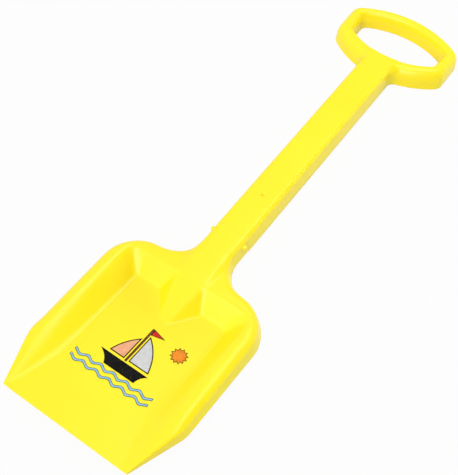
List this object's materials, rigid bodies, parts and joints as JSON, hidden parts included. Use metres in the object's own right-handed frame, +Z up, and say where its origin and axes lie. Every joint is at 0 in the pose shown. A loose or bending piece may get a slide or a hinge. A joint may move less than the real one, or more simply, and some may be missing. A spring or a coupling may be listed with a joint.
{
  "type": "sand shovel",
  "caption": "Toy sand shovel: shallow tray-shaped scoop with a rolled rim and a socket neck, straight ribbed shaft that plugs in and snaps home, and a D-shaped hand grip.",
  "frame": {"origin": "on the ground, under the middle of the shovel's box, as it lies with the scoop upwards", "axes": "+Y from the blade's front edge to the grip, +Z up, +X to the right when looking along +Y"},
  "size_m": [0.151, 0.52, 0.0223],
  "materials": {
    "yellow_plastic": "glossy injection-moulded polyolefin, lemon yellow",
    "print_ink": "thin printed film in black, grey, peach, brown, red and light blue"
  },
  "bodies": {
    "blade": {"blade": "yellow_plastic", "print": "print_ink"},
    "handle": {"handle": "yellow_plastic"},
    "catch_left": {"catch_left": "yellow_plastic"},
    "catch_right": {"catch_right": "yellow_plastic"}
  },
  "joints": [
    {"name": "handle_pull", "type": "slide", "parent": "blade", "child": "handle", "axis": [0, 1, 0], "range_m": [0, 0.05]},
    {"name": "catch_left_press", "type": "hinge", "parent": "handle", "child": "catch_left", "pos_m": [-0.0098, -0.0787, 0.012], "axis": [0, 0, -1], "range_deg": [0, 15], "stiffness_Nm_per_rad": 0.3},
    {"name": "catch_right_press", "type": "hinge", "parent": "handle", "child": "catch_right", "pos_m": [0.0098, -0.0787, 0.012], "axis": [0, 0, 1], "range_deg": [0, 15], "stiffness_Nm_per_rad": 0.3}
  ]
}
